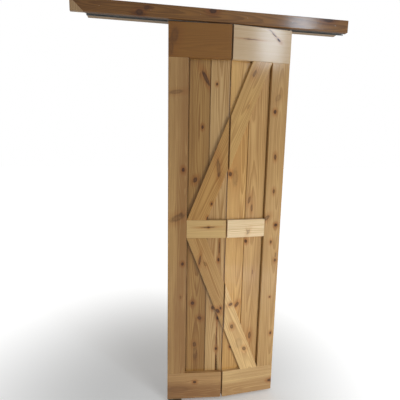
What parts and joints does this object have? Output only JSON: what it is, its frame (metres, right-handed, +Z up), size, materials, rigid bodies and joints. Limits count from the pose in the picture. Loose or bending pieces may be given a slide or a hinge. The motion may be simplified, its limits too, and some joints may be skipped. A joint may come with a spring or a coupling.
{
  "type": "bifold barn door",
  "caption": "Folding barn door with a K brace over vertical planks, hinged at the back of its seam, on a pivot and a wheel that runs in an overhead track under a cased head.",
  "frame": {"origin": "on the pivot axis, at the underside of the floor bracket, which is the finished floor", "axes": "+X to the right along the opening, +Y into the opening away from the front, +Z up"},
  "size_m": [1.35, 0.1439, 2.087],
  "materials": {
    "plank_wood": "clear satin varnish on knotty softwood",
    "face_wood": "clear satin varnish on knotty softwood",
    "pale_wood": "clear satin varnish on paler boards",
    "casing_wood": "stained and varnished",
    "jamb_wood": "stained and varnished",
    "track_steel": "galvanised, rolled",
    "hinge_steel": "satin steel",
    "spring_steel": "drawn wire",
    "zinc_plate": "zinc plated",
    "nylon": "moulded nylon",
    "rubber": "moulded"
  },
  "bodies": {
    "frame": {"head_jamb": "jamb_wood", "header_casing": "casing_wood", "side_casing": "casing_wood", "casing_nails": "zinc_plate", "track": "track_steel", "track_screws": "zinc_plate", "pivot_block": "zinc_plate", "pivot_clamp_screw": "zinc_plate", "bumper": "rubber", "bumper_clamp_screw": "zinc_plate", "floor_bracket": "hinge_steel", "bottom_pivot_pin": "zinc_plate", "height_nut": "zinc_plate"},
    "left_leaf": {"left_outer_plank": "plank_wood", "left_middle_plank": "plank_wood", "left_inner_plank": "plank_wood", "left_stile": "face_wood", "left_top_rail": "face_wood", "left_mid_rail": "face_wood", "left_bottom_rail": "face_wood", "left_upper_brace": "face_wood", "left_lower_brace": "face_wood", "top_pivot_bushing": "nylon", "top_pivot_spring": "spring_steel", "bottom_pivot_bushing": "nylon", "upper_hinge_left_plate": "hinge_steel", "upper_hinge_pin": "zinc_plate", "middle_hinge_left_plate": "hinge_steel", "middle_hinge_pin": "zinc_plate", "lower_hinge_left_plate": "hinge_steel", "lower_hinge_pin": "zinc_plate", "left_hinge_screws": "zinc_plate"},
    "right_leaf": {"right_inner_plank": "plank_wood", "right_middle_plank": "plank_wood", "right_outer_plank": "plank_wood", "right_stile": "face_wood", "right_top_rail": "pale_wood", "right_mid_rail": "pale_wood", "right_bottom_rail": "face_wood", "right_upper_brace": "face_wood", "right_lower_brace": "face_wood", "guide_bushing": "nylon", "guide_spring": "spring_steel", "upper_hinge_right_plate": "hinge_steel", "middle_hinge_right_plate": "hinge_steel", "lower_hinge_right_plate": "hinge_steel", "right_hinge_screws": "zinc_plate"},
    "pivot_pin": {"top_pivot_pin": "zinc_plate"},
    "guide_pin": {"guide_pin": "zinc_plate"},
    "guide_wheel": {"guide_wheel": "nylon"}
  },
  "joints": [
    {"name": "leaf_turn", "type": "hinge", "parent": "frame", "child": "left_leaf", "pos_m": [0, 0, 1], "axis": [0, 0, -1], "range_deg": [-4.3, 80.7]},
    {"name": "seam_turn", "type": "hinge", "parent": "left_leaf", "child": "right_leaf", "pos_m": [0.28208, 0.00386, 1], "axis": [0, 0, 1], "range_deg": [-8.6, 161.4]},
    {"name": "pivot_pin_press", "type": "slide", "parent": "left_leaf", "child": "pivot_pin", "axis": [0, 0, 1], "range_m": [-0.012, 0], "stiffness_N_per_m": 500, "springref_m": 0.02, "deforming": ["top_pivot_spring"]},
    {"name": "guide_pin_press", "type": "slide", "parent": "right_leaf", "child": "guide_pin", "axis": [0, 0, 1], "range_m": [-0.005, 0], "stiffness_N_per_m": 500, "springref_m": 0.02, "deforming": ["guide_spring"]},
    {"name": "wheel_spin", "type": "hinge", "parent": "guide_pin", "child": "guide_wheel", "pos_m": [0.56417, 0, 2.033], "axis": [0, 0, 1], "continuous": true}
  ],
  "couplings": [
    {"joint": "seam_turn", "follows": "leaf_turn", "ratio": 2}
  ]
}
